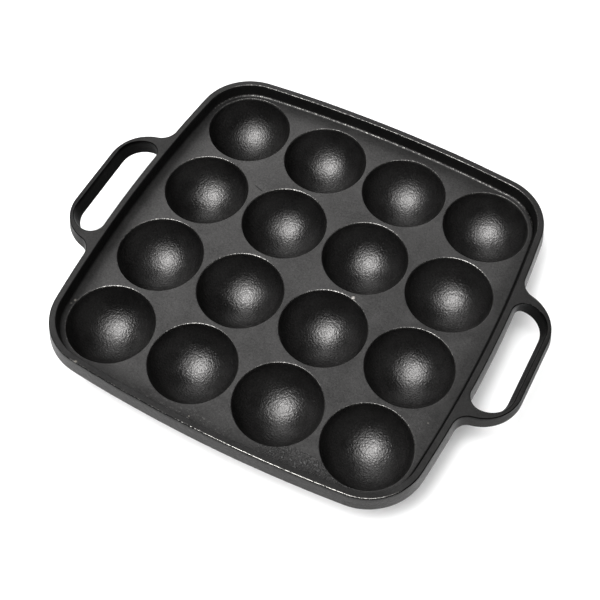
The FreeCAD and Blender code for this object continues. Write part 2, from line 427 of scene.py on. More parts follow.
hand_len = run_length(hand_rows)
reach = np.minimum(hand_len, hand_len[-1] - hand_len)
low_hand = hand_rows[:, :2] + hand_rows[:, 2:] * lean(HAND_BOT)
gap = np.hypot(low_hand[:, 0] + SIDE_K, low_hand[:, 1]) - SIDE_R - lean(HAND_BOT)
under_h = np.maximum(np.minimum(UNDER_EDGE * fade(reach), 0.45 * gap), 0.003)
under_h[0] = under_h[-1] = 0
under = np.zeros(N_OUT)
under[0:HAND_N + 1] = under_h
under[N_HALF:N_HALF + HAND_N + 1] = under_h
outer_rings = wall_rings(outer_at, OUTER[:, 2:], None, np.full(N_OUT, DRAFT), under)
tags = np.full(N_OUT, T_RIM)
tags[OUT_SEAMS[0]:OUT_SEAMS[1]] = T_RIGHT
tags[N_HALF + OUT_SEAMS[0]:N_HALF + OUT_SEAMS[1]] = T_LEFT
net.grid(outer_rings, tags)

# ---- walls of the openings ------------------------------------------------------
mid_rows, _, _ = opening(HAND_BOT)
op_top, _, _ = opening(RIM_H)
op_low, _, _ = opening(RIM_H - 6.0)
op_normal = op_top[:, 2:]
op_lean = np.maximum(((op_low[:, :2] - op_top[:, :2]) * op_normal).sum(1) / 6.0, 0.02)
op_cache = {}


def open_at(z):
    """Opening points, where each column has its own height."""
    p0, p1, p2 = (op_cache.setdefault(k, opening(k)[0][:, :2]) for k in (RIM_H, 3.0, HAND_BOT))
    z0, z1, z2 = RIM_H, 3.0, HAND_BOT
    l0 = ((z - z1) * (z - z2)) / ((z0 - z1) * (z0 - z2))
    l1 = ((z - z0) * (z - z2)) / ((z1 - z0) * (z1 - z2))
    l2 = ((z - z0) * (z - z1)) / ((z2 - z0) * (z2 - z1))
    return p0 * l0[:, None] + p1 * l1[:, None] + p2 * l2[:, None]


op_len = np.concatenate([[0], np.cumsum(np.hypot(*(np.roll(op_top[:, :2], -1, 0) - op_top[:, :2]).T))])
far = np.arange(OPEN_STARTS[1], N_OP + 1)
reach = np.minimum(op_len[far] - op_len[far[0]], op_len[far[-1]] - op_len[far])
under_o = np.zeros(N_OP + 1)
gap = np.hypot(mid_rows[:, 0] + SIDE_K, mid_rows[:, 1]) - SIDE_R - lean(HAND_BOT)
under_o[far] = np.maximum(np.minimum(0.25 * fade(reach), 0.45 * gap[far % N_OP]), 0.003)
under_o[far[0]] = under_o[far[-1]] = 0
under_o = under_o[:N_OP]
open_rings = wall_rings(open_at, op_normal, None, op_lean, under_o)
open_tags = np.full(N_OP, T_RIM)
open_tags[OPEN_SEAMS[0]:OPEN_SEAMS[1]] = T_RIGHT
net.grid(open_rings, open_tags)
open_rings_l = open_rings * [-1, -1, 1]
net.grid(open_rings_l, np.where(open_tags == T_RIGHT, T_LEFT, T_RIM))

# ---- the skirt below the handles' level, all round ------------------------------
att_hi = side_rows(A_OPEN, A_SIDE, 0.9)
low_open = side_rows(-A_OPEN, A_OPEN, 1.0)
t = np.linspace(-A_OPEN, A_OPEN, N_OPEN[0] + 1)
low_open = np.stack([-SIDE_K + SIDE_R * np.cos(t), SIDE_R * np.sin(t), np.cos(t), np.sin(t)], 1)
low_half, low_starts = chain([att_hi[::-1] * [1, -1, 1, -1], low_open, att_hi,
                              free_rows, corner_a, top_side, turned(corner_a, 1),
                              turned(free_rows[::-1] * [1, -1, 1, -1], 2)])
LOWER = np.vstack([low_half[:-1], turned(low_half, 2)[:-1]])
rings = [np.column_stack([LOWER[:, :2] + LOWER[:, 2:] * lean(HAND_BOT), np.full(len(LOWER), HAND_BOT)])]
xs = lean(ZB) - SKIRT_EDGE * (1 + math.sin(AL)) / math.cos(AL)
for beta in np.linspace(AL, -math.pi / 2, 7):
    rings.append(np.column_stack([LOWER[:, :2] + LOWER[:, 2:] * (xs + SKIRT_EDGE * math.cos(beta)),
                                  np.full(len(LOWER), ZB + SKIRT_EDGE + SKIRT_EDGE * math.sin(beta))]))
skirt_rings = np.array(rings)
net.grid(skirt_rings, T_RIM)

# ---- tray side of the rim --------------------------------------------------------
GA = math.atan(RIM_IN_LEAN / RIM_H)
x_top = -RIM_TOP_W + INNER_EDGE * (1 - math.sin(GA)) / math.cos(GA)
x_foot = -RIM_TOP_W - RIM_IN_LEAN - RIM_IN_FILLET * (1 - math.sin(GA)) / math.cos(GA)
prof = []
for phi in np.linspace(0, math.pi / 2 - GA, 5):
    prof.append((x_top - INNER_EDGE * math.sin(phi), RIM_H - INNER_EDGE + INNER_EDGE * math.cos(phi)))
z_f = RIM_IN_FILLET * (1 - math.sin(GA))
w0, w1 = prof[-1], (x_foot + RIM_IN_FILLET * math.cos(GA), z_f)
for f in (0.25, 0.5, 0.75):
    prof.append((w0[0] + (w1[0] - w0[0]) * f, w0[1] + (w1[1] - w0[1]) * f))
for beta in np.linspace(-GA, -math.pi / 2, 7):
    prof.append((x_foot + RIM_IN_FILLET * math.cos(beta), RIM_IN_FILLET + RIM_IN_FILLET * math.sin(beta)))
SEAM_D = -6.0
prof.append((SEAM_D, 0.0))
rings = []
for d, z in prof:
    p = INNER[:, :2] + INNER[:, 2:] * d
    w = np.clip(z / RIM_H, 0, 1)
    rings.append(np.column_stack([p, z - drop(p[:, 0]) * w]))
inner_rings = np.array(rings)
net.grid(inner_rings, T_RIM)

# ---- top of the rim and the handles ----------------------------------------------
ring_o = outer_rings[0][:, :2]
ring_i = inner_rings[0][:, :2]
ring_r, ring_l = open_rings[0][:, :2], open_rings_l[0][:, :2]


def seam_line(a, b, n):
    f = np.linspace(0, 1, n + 1)[:, None]
    return a * (1 - f) + b * f


N_SEAM = 9
tops, bottoms = [], []
for side, shift in ((0, 0), (1, N_HALF)):
    op = (open_rings, open_rings_l)[side]
    for k in (0, 1):
        i = shift + OUT_SEAMS[k]
        j = OPEN_SEAMS[1 - k]
        tops.append(seam_line(outer_rings[0][i], op[0][j], N_SEAM))
        bottoms.append(seam_line(outer_rings[-1][i], op[-1][j], N_SEAM))


def pan_offset(p):
    """Signed distance outside the pan's outline, near it."""
    q = np.abs(p)
    x, y = np.maximum(q[:, 0], q[:, 1]), np.minimum(q[:, 0], q[:, 1])
    side = np.hypot(x + SIDE_K, y) - SIDE_R
    corner = np.hypot(x - CORNER_C, y - CORNER_C) - CORNER_R
    return np.where(np.arctan2(y, x + SIDE_K) < SIDE_A, side, corner)


def past_seam(p):
    """Triangles that belong to a handle: outside the lines where its section starts."""
    q = np.abs(p)
    line = tops[1]
    a, b = np.abs(line[0][:2]), np.abs(line[-1][:2])
    if a[1] > b[1]:
        a, b = b, a
    n = np.array([b[1] - a[1], a[0] - b[0]])
    side = (q - a) @ n
    return side > 0


inner_extra = np.vstack([INNER[:, :2] + INNER[:, 2:] * d for d in (-1.25, -1.85, -2.45)])
hx = hexes(101.0, 126.0, -46.0, 46.0, 1.5)
hx = hx[pan_offset(hx) > -0.5]
hx = hx[inside(ring_o, hx) & ~inside(ring_r, hx)]
lines2 = np.vstack([ln[:, :2] for ln in tops])
hx = hx[nearest(hx, np.vstack([ring_o, ring_r, lines2])) > 0.75]
extra = np.vstack([inner_extra, hx, -hx])


def keep_top(m):
    return (inside(ring_o, m) & ~inside(ring_i, m) & ~inside(ring_r, m) & ~inside(ring_l, m))


p2, tris = flat_mesh([ring_o, ring_i, ring_r, ring_l], [ln[:, :2] for ln in tops], extra, keep_top)
mid = p2[tris].mean(1)
tt = np.where(past_seam(mid) & (np.abs(mid[:, 0]) > 100), np.where(mid[:, 0] > 0, T_RIGHT, T_LEFT), T_RIM)
net.triangles(np.column_stack([p2, RIM_H - drop(p2[:, 0])]), tris, tt)

# ---- undersides of the handles -----------------------------------------------------
ho = outer_rings[-1][:HAND_N + 1, :2]
oo = open_rings[-1][:, :2]
att = att_hi[:, :2] + att_hi[:, 2:] * lean(HAND_BOT)
far_side = oo[np.r_[OPEN_STARTS[1]:N_OP, 0]]
poly = np.vstack([ho, att[::-1][1:-1], far_side, (att * [1, -1])[1:-1]])
hb = hexes(101.0, 127.0, -46.0, 46.0, 1.5)
hb = hb[inside(poly, hb)]
b_lines = [ln[:, :2] for ln in bottoms[:2]]
hb = hb[nearest(hb, np.vstack([poly, *b_lines])) > 0.75]
p2, tris = flat_mesh([poly], b_lines, hb, lambda m: inside(poly, m))


def past_low(p):
    q = np.abs(p)
    a, b = np.abs(b_lines[1][0]), np.abs(b_lines[1][-1])
    if a[1] > b[1]:
        a, b = b, a
    n = np.array([b[1] - a[1], a[0] - b[0]])
    return (q - a) @ n > 0


tt = np.where(past_low(p2[tris].mean(1)), T_RIGHT, T_RIM)
p3 = np.column_stack([p2, np.full(len(p2), HAND_BOT)])
net.triangles(p3, tris, tt)
net.triangles(p3 * [-1, -1, 1], tris, np.where(tt == T_RIGHT, T_LEFT, T_RIM))

# ---- mouths and insides of the wells ---------------------------------------------------
N_MOUTH = 128
ang = np.arange(N_MOUTH) * 2 * math.pi / N_MOUTH
ca, sa = np.cos(ang), np.sin(ang)
lip_x = math.sqrt((WELL_R + LIP_R) ** 2 - LIP_R ** 2)
th_t = math.atan2(LIP_R, lip_x)                      # below the level, from the centre
th_b = math.asin(PLATE_T / WELL_R)
mouth_prof = []
for phi in np.linspace(math.pi / 2, math.pi - 0.0 + th_t, 7)[0:7]:
    mouth_prof.append((lip_x + LIP_R * math.cos(phi), -LIP_R + LIP_R * math.sin(phi)))
mouth_prof[-1] = (WELL_R * math.cos(th_t), -WELL_R * math.sin(th_t))
for th in np.linspace(th_t, th_b, 3)[1:]:
    mouth_prof.append((WELL_R * math.cos(th), -WELL_R * math.sin(th)))
bowl_prof = [(WELL_R * math.cos(th), -WELL_R * math.sin(th)) for th in np.linspace(th_b, math.pi / 2, 27)[:-1]]


def revolved(prof, cx, cy):
    return np.array([np.column_stack([cx + r * ca, cy + r * sa, np.full(N_MOUTH, z)]) for r, z in prof])


mouth_tops, mouth_lows = [], []
for k, (cx, cy) in enumerate(CENTRES):
    m = revolved(mouth_prof, cx, cy)
    net.grid(m, T_PLATE)
    mouth_tops.append(m[0])
    mouth_lows.append(m[-1])
    b = revolved(bowl_prof, cx, cy)
    net.grid(b, T_WELL + k)
    net.fan((cx, cy, -WELL_R), b[-1], T_WELL + k)

# ---- the plate's top ----------------------------------------------------------------------
ring_s = inner_rings[-1][:, :2]
hx = hexes(-100, 100, -100, 100, 1.7)
hx = hx[inside(ring_s, hx)]
cell = hx - (np.round((hx - FIRST) / PITCH).clip(0, WELLS - 1) * PITCH + FIRST)
hx = hx[np.hypot(cell[:, 0], cell[:, 1]) > lip_x + 0.7]
hx = hx[nearest(hx, ring_s) > 0.8]


def off_wells(m, r):
    c = m - (np.round((m - FIRST) / PITCH).clip(0, WELLS - 1) * PITCH + FIRST)
    return np.hypot(c[:, 0], c[:, 1]) > r * math.cos(math.pi / N_MOUTH) + 1e-4


p2, tris = flat_mesh([ring_s] + [m[:, :2] for m in mouth_tops], [], hx,
                     lambda m: inside(ring_s, m) & off_wells(m, lip_x - 0.003))
net.triangles(np.column_stack([p2, np.zeros(len(p2))]), tris, np.full(len(tris), T_PLATE))

# ---- outsides of the bowls -------------------------------------------------------------------
N_OUTB = 144
CLIP = 0.5 * PITCH
theta0 = math.acos(CLIP / WEB_X)
base = np.arange(N_OUTB) * 2 * math.pi / N_OUTB
for q in range(4):
    for s in (-1, 1):
        want = (q * math.pi / 2 + s * theta0) % (2 * math.pi)
        near = int(np.argmin(np.abs((base - want + math.pi) % (2 * math.pi) - math.pi)))
        base[near] = want
cb, sb = np.cos(base), np.sin(base)


def depth(r):
    """How far a bowl reaches below the plate's underside, at a distance r from its middle."""
    r = np.asarray(r, float)
    sphere = np.sqrt(np.maximum(OUT_R ** 2 - r ** 2, 0.0))
    web_t = OUT_R / (OUT_R + WEB_FILLET) * WEB_X
    web = PLATE_T + WEB_FILLET - np.sqrt(np.maximum(WEB_FILLET ** 2 - (WEB_X - r) ** 2, 0.0))
    z = np.where(r < web_t, sphere, web)
    z = np.where(r >= WEB_X, PLATE_T, z)
    t = np.clip((r - (PAD_R - 0.5)) / 1.3, 0, 1)
    s = t * t * (3 - 2 * t)
    z = np.where(r < PAD_R + 0.8, PLATE_TOP * (1 - s) + sphere * s, z)
    return z - PLATE_T


def bottom(x, y):
    """Height of the casting's underside."""
    d = np.stack([depth(np.hypot(x - cx, y - cy)) for cx, cy in CENTRES])
    d = np.sort(d, 0)[::-1]
    a, b = d[0], d[1]
    k = np.minimum(13.0, 1.5 * b)
    h = np.where(k > 1e-9, np.maximum(k - (a - b), 0) / np.maximum(k, 1e-9), 0)
    return ZB - (a + h * h * k / 4)


web_t_r = OUT_R / (OUT_R + WEB_FILLET) * WEB_X
nom = [2.0, 4.0, 5.4, 6.0, 6.3, 6.6, 6.9, 7.3]
for th in np.linspace(math.acos(7.3 / OUT_R), math.acos(web_t_r / OUT_R), 20)[1:]:
    nom.append(OUT_R * math.cos(th))
a_w = math.acos((WEB_X - web_t_r) / WEB_FILLET)
for b_ in np.linspace(a_w, math.pi / 2, 6)[1:]:
    nom.append(WEB_X - WEB_FILLET * math.cos(b_))
NOM = np.array(nom)
NOM[-1] = WEB_X
KNEE = 14.0

bowl_edges = []
walls = {}
for k, (cx, cy) in enumerate(CENTRES):
    col, row = k % WELLS, k // WELLS
    reach = np.full(N_OUTB, WEB_X)
    clipped = np.zeros(N_OUTB, bool)
    for has, c in ((col < WELLS - 1, cb), (col > 0, -cb), (row > 0, sb), (row < WELLS - 1, -sb)):
        if has:
            with np.errstate(divide="ignore"):
                r = np.where(c > 1e-9, CLIP / np.maximum(c, 1e-9), 1e9)
            clipped |= r < reach + 1e-7
            reach = np.minimum(reach, r)
    rr = np.where(NOM[:, None] <= KNEE, NOM[:, None],
                  KNEE + (NOM[:, None] - KNEE) * (reach[None, :] - KNEE) / (WEB_X - KNEE))
    x, y = cx + rr * cb, cy + rr * sb
    z = bottom(x, y)
    g = np.stack([x, y, z], -1)
    net.grid(g, T_WELL + k)
    net.fan((cx, cy, -PLATE_TOP), g[0], T_WELL + k)
    bowl_edges.append((g[-1], clipped))

# ---- the plate's underside between the bowls ---------------------------------------------------
FOOT_D = -1.0
foot = INNER[:, :2] + INNER[:, 2:] * FOOT_D
ring_k = skirt_rings[-1][:, :2]
outlines = [e[0][:, :2] for e in bowl_edges]
circles = [m[:, :2] for m in mouth_lows]
hx = hexes(-104, 104, -104, 104, 2.2)
hx = hx[inside(ring_k, hx)]
hx = hx[nearest(hx, np.vstack([ring_k, foot] + circles + outlines)) > 1.0]
in_disc = np.zeros(len(hx), bool)
for c in circles:
    in_disc |= inside(c, hx)
hx = hx[~in_disc]


def keep_low(m):
    ok = inside(ring_k, m)
    for c in circles:
        ok &= ~inside(c, m)
    return ok


low2, low_tris = flat_mesh([ring_k, foot] + circles + outlines, [], hx, keep_low)
low_mid = low2[low_tris].mean(1)
in_foot = inside(foot, low_mid)
owner = np.full(len(low_tris), -1)
for k, o in enumerate(outlines):
    owner[inside(o, low_mid)] = k
low3 = np.column_stack([low2, np.full(len(low2), ZB)])
open_below = owner < 0
net.triangles(low3, low_tris[open_below], np.where(in_foot[open_below], T_PLATE, T_RIM))

# =============================================================================
# One surface from all patches, then its uneven cast skin
# =============================================================================
P = np.vstack(net.points)
_, first, inverse = np.unique(keys(P), axis=0, return_index=True, return_inverse=True)
inverse = inverse.reshape(-1)
V0 = P[first]
quads = inverse[np.vstack(net.quads)]
tris_all = inverse[np.vstack(net.tris)]
quad_tags = np.concatenate(net.quad_tags)
tri_tags = np.concatenate(net.tri_tags)

faces = [tuple(f) for f in quads.tolist()] + [tuple(f) for f in tris_all.tolist()]
face_tags = np.concatenate([quad_tags, tri_tags])
whole = bpy.data.meshes.new("whole")
whole.from_pydata(V0.tolist(), [], faces)
bm = bmesh.new()
bm.from_mesh(whole)
bmesh.ops.recalc_face_normals(bm, faces=bm.faces)
bad = [e for e in bm.edges if len(e.link_faces) != 2]
print("surface: vertices", len(V0), "faces", len(faces), "edges not shared by two faces", len(bad))
for e in bad[:8]:
    print("   ", [tuple(round(c, 3) for c in v.co) for v in e.verts], len(e.link_faces))
if bm.calc_volume(signed=True) < 0:
    bmesh.ops.reverse_faces(bm, faces=bm.faces)
print("surface: volume mm3", round(bm.calc_volume(), 0))
bm.faces.ensure_lookup_table()
bm.to_mesh(whole)
bm.free()


def area_normals(mesh, co):
    """Vertex normals weighted by face area, so that flats stay flat beside small roundings."""
    loops = np.empty(len(mesh.loops), np.int64)
    mesh.loops.foreach_get("vertex_index", loops)
    starts = np.empty(len(mesh.polygons), np.int64)
    totals = np.empty(len(mesh.polygons), np.int64)
    mesh.polygons.foreach_get("loop_start", starts)
    mesh.polygons.foreach_get("loop_total", totals)
    out = np.zeros_like(co)
    for n in (3, 4):
        s = starts[totals == n]
        idx = loops[s[:, None] + np.arange(n)]
        p = co[idx]
        if n == 3:
            fn = np.cross(p[:, 1] - p[:, 0], p[:, 2] - p[:, 0])
        else:
            fn = np.cross(p[:, 2] - p[:, 0], p[:, 3] - p[:, 1])
        for c in range(n):
            np.add.at(out, idx[:, c], fn)
    ln = np.linalg.norm(out, axis=1, keepdims=True)
    return out / np.maximum(ln, 1e-12)


N0 = area_normals(whole, V0)


def cast_skin(p):
    """Inward dents of the skin, in millimetres, at a point of the surface."""
    v = Vector(p)
    a = noise.noise(v / 26.0 + Vector((3.1, 7.7, 1.9)))
    b = noise.noise(v / 9.0 + Vector((11.3, 2.9, 5.3)))
    c = noise.noise(v / 3.6 + Vector((1.7, 9.1, 13.9)))
    return 0.075 * (1 + a) + 0.022 * (1 + b) + 0.006 * (1 + c)


dent = np.array([cast_skin(p) for p in V0.tolist()])
low_w = np.clip((V0[:, 2] + PLATE_TOP - 0.02) / 2.5, 0, 1)
dent *= low_w * low_w * (3 - 2 * low_w)
V1 = V0 - N0 * dent[:, None]
N1 = area_normals(whole, V1)

# how each point's surface is kept: x seasoning with painted light and shade, y wear of an edge with painted glints, z
# pebbling
cell = V0[:, :2] - (np.round((V0[:, :2] - FIRST) / PITCH).clip(0, WELLS - 1) * PITCH + FIRST)
axis_d = np.hypot(cell[:, 0], cell[:, 1])
ball_d = np.hypot(axis_d, V0[:, 2])
on_pan = pan_offset(V0[:, :2]) < -1.0
in_well = np.clip((22.75 - ball_d) / 0.7, 0, 1) * (V0[:, 2] < 0.01) * (ball_d < 23.5)
on_top = np.clip(1 - np.abs(V0[:, 2]) / 1.2, 0, 1) * (pan_offset(V0[:, :2]) < -4.3)
SKIN = np.zeros((len(V0), 3))
off_pan = pan_offset(V0[:, :2])
by_rim = np.clip((off_pan + 17.0) / 11.0, 0, 1)
by_rim = by_rim * by_rim * (3 - 2 * by_rim)
# painted light: the plate's top is made lighter towards the far-left corner
towards_far = 1 + 0.20 * (0.86 * V0[:, 1] - 0.5 * V0[:, 0]) / 60.0
# painted shade: darker along the left rim's foot
left_foot = np.clip((-80 - V0[:, 0]) / 8.0, 0, 1) * np.clip((off_pan + 9.8) / 2.5, 0, 1)
skirt = np.clip(1 - np.abs(off_pan - 0.6) / 1.2, 0, 1) * (V0[:, 2] < RIM_H - 0.9)
u, v = cell[:, 0] / np.maximum(axis_d, 1e-3), cell[:, 1] / np.maximum(axis_d, 1e-3)
up_well = np.clip((axis_d - 14.0) / 5.0, 0, 1)
mid_well = np.clip((axis_d - 8.0) / 3.0, 0, 1) * np.clip((19.0 - axis_d) / 3.0, 0, 1)
# painted light and shade in the wells: their upper walls lighter on the +x side and darker on the -x and -y sides, with
# a lighter band mid-way on the +x and +y sides
bowl = 1.03 + 1.68 * up_well * (-0.135 + 0.135 * u + 0.105 * v + 0.10 * (u * u - v * v))
bowl += 1.68 * mid_well * (0.14 * np.maximum(u, 0) + 0.08 * np.maximum(v, 0))
# painted shade: the plate's top is made darker near the rim
SKIN[:, 0] = np.maximum.reduce([bowl * in_well, (0.80 - 0.74 * by_rim) * towards_far * on_top, 0.33 * skirt])
SKIN[:, 0] -= 0.33 * left_foot * on_top * (1 - in_well)
# painted shade: the tray side of the rim's wall is made dark, above its foot
wall_in = np.clip((off_pan + 5.2) / 1.2, 0, 1) * np.clip((-2.2 - off_pan) / 0.6, 0, 1)
wall_in *= np.clip((V0[:, 2] - 0.4) / 0.8, 0, 1) * np.clip((RIM_H - 0.3 - V0[:, 2]) / 0.5, 0, 1)
SKIN[:, 0] = SKIN[:, 0] * (1 - wall_in) - 0.40 * wall_in
# painted light and shade: below the top, the walls outside the pan's outline are set darker on the right and lighter on
# the left's near part
beyond = np.clip((off_pan - 1.2) / 1.5, 0, 1) * np.clip((RIM_H - 0.9 - V0[:, 2]) / 1.2, 0, 1)
wall_l = 0.12 - 0.11 * np.clip((V0[:, 1] + 52) / 14, 0, 1)
SKIN[:, 0] = SKIN[:, 0] * (1 - beyond) + np.where(V0[:, 0] > 0, -0.045, wall_l) * beyond
SKIN[:, 2] = in_well
# where the casting stays dry and dull: most on the tops of the rim and the handles and on the
# handles' walls, less along the plate's border, hardly in the middle
DRY = np.clip((V0[:, 2] - RIM_H + 1.0) / 0.7, 0, 1) * np.clip((off_pan + 3.4) / 0.8, 0, 1)
# the dry tops are darker; the extra darkening towards the right and along the near side is painted shade
SKIN[:, 0] -= DRY * (0.065 + 0.11 * V0[:, 0] / 100 + 0.15 * np.clip((-88 - V0[:, 1]) / 6, 0, 1))
DRY = np.maximum.reduce([DRY, beyond, (0.25 + 0.35 * by_rim) * on_top, 0.12 * skirt, 0.4 * wall_in])
index_of = {tuple(k): i for i, k in enumerate(keys(V0).tolist())}


def wear_and_glint(rings, weights, scale=1.0):
    for ring, w in zip(rings, weights):
        ids = [index_of[tuple(k)] for k in keys(ring).tolist()]
        SKIN[ids, 1] = np.maximum(SKIN[ids, 1], w * scale)


# painted shade: the walls of the openings are made dark, on the pan's side only under the edge, and lower down on the
# pan's side lighter, painted light from the floor
for rings_o in (open_rings, open_rings_l):
    for n, ring in enumerate(rings_o[3:]):
        ids = np.array([index_of[tuple(k)] for k in keys(ring).tolist()])
        handle_side = off_pan[ids] > 1.6
        SKIN[ids, 0] = np.where(handle_side, -0.53, (-0.5, -0.5, -0.5, -0.1, 0.15, 0.15)[min(n, 5)])

# wear and painted glint: the outer edge is worn most along the near side's right part, where the light catches it
edge_p = OUTER[:, :2]
near_e = np.clip((-85 - edge_p[:, 1]) / 6, 0, 1)
edge_wear_and_glint = 0.02 + near_e * (0.08 + 0.45 * np.clip((edge_p[:, 0] + 14) / 34, 0, 1))
wear_and_glint(outer_rings[0:6], (0.1, 0.9, 0.9, 0.1, 0.0, 0.0), edge_wear_and_glint)
# wear and painted glint on the right opening's top edge, most at its far end
end_o = np.clip((open_rings[0][:, 1] - 29) / 10, 0, 1)
wear_and_glint(open_rings[0:6], (0.0, 0.3, 1.0, 0.5, 0.1, 0.0), 0.02 + 0.20 * end_o)
# wear and painted glint on the rim's inner top edge, most on the far side and a little on the right, and on its foot on
# the far side
far_i = np.clip((INNER[:, 1] - 60) / 25, 0, 1)
right_i = np.clip((INNER[:, 0] - 85) / 6, 0, 1)
wear_and_glint(inner_rings[0:5], (0.0, 0.5, 1.0, 0.5, 0.0), 0.02 + np.maximum(0.31 * far_i, 0.05 * right_i))
wear_and_glint(inner_rings[8:14], (0.0, 0.3, 0.8, 1.0, 0.5, 0.0), 0.02 + 0.16 * far_i)
# painted glint with some wear: the lips get bare metal mostly on their far side, where the light catches them, and the
# left column's lips on their left side
far_lip = np.clip(np.cos(ang - math.radians(104)) * 1.25 + 0.25, 0, 1)
for k, (cx, cy) in enumerate(CENTRES):
    lip_w = 0.05 + 0.29 * far_lip
    if cx < -60:
        lip_w = np.maximum(lip_w, 0.15 * np.clip(np.cos(ang - math.radians(195)) * 2, 0, 1))
    wear_and_glint(revolved(mouth_prof[0:7], cx, cy), (0.0, 0.2, 0.8, 1.0, 0.5, 0.1, 0.0), lip_w)
# where an edge carries wear and painted glint it isn't dry, and its level is raised
DRY *= 1 - 0.75 * np.clip(SKIN[:, 1] / 0.3, 0, 1)
SKIN[:, 0] += np.clip(SKIN[:, 1] / 0.3, 0, 1) * 0.25 * (SKIN[:, 0] < 0.3)


def darken(rings, weights, scale=1.0):
    """Painted shade: the thin black line under an outside edge or in a corner."""
    for ring, w in zip(rings, weights):
        ids = [index_of[tuple(k)] for k in keys(ring).tolist()]
        SKIN[ids, 0] = SKIN[ids, 0] * (1 - w * scale) - 0.62 * w * scale
        DRY[ids] *= 1 - w * scale


# painted shade along the outer top edge, the openings' top edges and the right side's inner foot
darken(outer_rings[1:6], (0.6, 1.0, 1.0, 1.0, 0.9))
for rings_o in (open_rings, open_rings_l):
    darken(rings_o[1:6], (0.5, 0.9, 1.0, 1.0, 1.0))
darken(inner_rings[8:14], (0.6, 0.8, 0.9, 0.9, 0.7, 0.35), right_i)

# =============================================================================
# Sections, each closed where it meets the next
# =============================================================================
poly_vertices = [tuple(p.vertices) for p in whole.polygons]


def dented(p):
    """Points of the surface, moved with its skin; any others stay."""
    out = np.array(p, float)
    flat = out.reshape(-1, 3)
    for n, k in enumerate(keys(flat).tolist()):
        i = index_of.get(tuple(k))
        if i is not None:
            flat[n] = V1[i]
    return out


class Caps:
    def __init__(self):
        self.points, self.moved, self.faces, self.tags = [], [], [], []
        self.n = 0

    def add(self, p, f, tags, moved=None):
        """Faces seen by every section in tags, as each of them ends there."""
        self.points.append(np.asarray(p, float).reshape(-1, 3))
        self.moved.append(self.points[-1] if moved is None else np.asarray(moved, float).reshape(-1, 3))
        self.faces += [tuple(int(i) + self.n for i in face) for face in f]
        self.tags += [tags] * len(f) if isinstance(tags, tuple) else tags
        self.n += len(self.points[-1])

    def grid(self, p, tags, wrap, moved=None):
        r, c, _ = p.shape
        f = [(i * c + j, i * c + (j + 1) % c, (i + 1) * c + (j + 1) % c, (i + 1) * c + j)
             for i in range(r - 1) for j in range(c if wrap else c - 1)]
        self.add(p, f, tags, moved)


def stretched(left, right, top, bot):
    """A sheet of points between four border lines."""
    u = np.linspace(0, 1, len(top))[None, :, None]
    v = np.linspace(0, 1, len(left))[:, None, None]
    return ((1 - v) * top[None] + v * bot[None] + (1 - u) * left[:, None] + u * right[:, None]
            - ((1 - u) * (1 - v) * top[0] + u * (1 - v) * top[-1] + (1 - u) * v * bot[0] + u * v * bot[-1]))


caps = Caps()
# plate to rim: a slanted strip through the plate's thickness
mids = [(SEAM_D + (FOOT_D - SEAM_D) * f, ZB * f) for f in (0, 0.5, 1)]
strip = np.array([np.column_stack([INNER[:, :2] + INNER[:, 2:] * d, np.full(N_IN, z)]) for d, z in mids])
caps.grid(strip, (T_PLATE, T_RIM), True)
# handles to rim
for q in range(4):
    side = q // 2
    shift = N_HALF if side else 0
    op = (open_rings, open_rings_l)[side]
    i, j = shift + OUT_SEAMS[q % 2], OPEN_SEAMS[1 - q % 2]
    left, right = outer_rings[:, i], op[:, j]
    lines = (left, right, tops[q], bottoms[q])
    caps.grid(stretched(*lines), (T_RIM, T_LEFT if side else T_RIGHT), False,
              stretched(*[dented(ln) for ln in lines]))
# bowls to the plate and the rim, in the plane of the plate's underside
for k in range(16):
    for inner, t in ((True, T_PLATE), (False, T_RIM)):
        sel = low_tris[(owner == k) & (in_foot == inner)]
        if len(sel):
            caps.add(low3, sel.tolist(), (t, T_WELL + k))
# between neighbouring bowls, from that plane down to the valley between them
for k, (edge, clipped) in enumerate(bowl_edges):
    cx, cy = CENTRES[k]
    col, row = k % WELLS, k // WELLS
    for has, other, axis in ((col < WELLS - 1, k + 1, 0), (row < WELLS - 1, k + WELLS, 1)):
        if not has:
            continue
        line = (cx + CLIP) if axis == 0 else (cy - CLIP)
        on = np.abs(edge[:, axis] - line) < 1e-6
        pts = edge[on]
        pts = pts[np.argsort(pts[:, 1 - axis])]
        up = pts.copy()
        up[:, 2] = ZB
        levels, moved = [np.array([a * (1 - f) + b * f for f in (0, 0.33, 0.67, 1)])
                         for a, b in ((up, pts), (dented(up), dented(pts)))]
        caps.grid(levels, (T_WELL + k, T_WELL + other), False, moved)

CP = np.vstack(caps.points)
CM = np.vstack(caps.moved)
cap_keys = [tuple(k) for k in keys(CP).tolist()]
cap_ids = {}
extra_points = []
cap_map = np.empty(len(CP), np.int64)
for i, key in enumerate(cap_keys):
    if key in index_of:
        cap_map[i] = index_of[key]
    else:
        if key not in cap_ids:
            cap_ids[key] = len(V1) + len(extra_points)
            extra_points.append(CM[i])
        cap_map[i] = cap_ids[key]
VA = np.vstack([V1, np.array(extra_points)]) if extra_points else V1
SA = np.vstack([SKIN, np.zeros((len(extra_points), 3))])
DA = np.concatenate([DRY, np.zeros(len(extra_points))])
cap_faces = []
for f, t in zip(caps.faces, caps.tags):
    ids = []
    for i in f:
        g = int(cap_map[i])
        if g not in ids:
            ids.append(g)
    if len(ids) >= 3:
        cap_faces.append((tuple(ids), t))

MM = 0.001
LIFT = np.array([0, 0, PLATE_TOP])
lo_box, hi_box = np.array(cad_lo) / MM, np.array(cad_hi) / MM

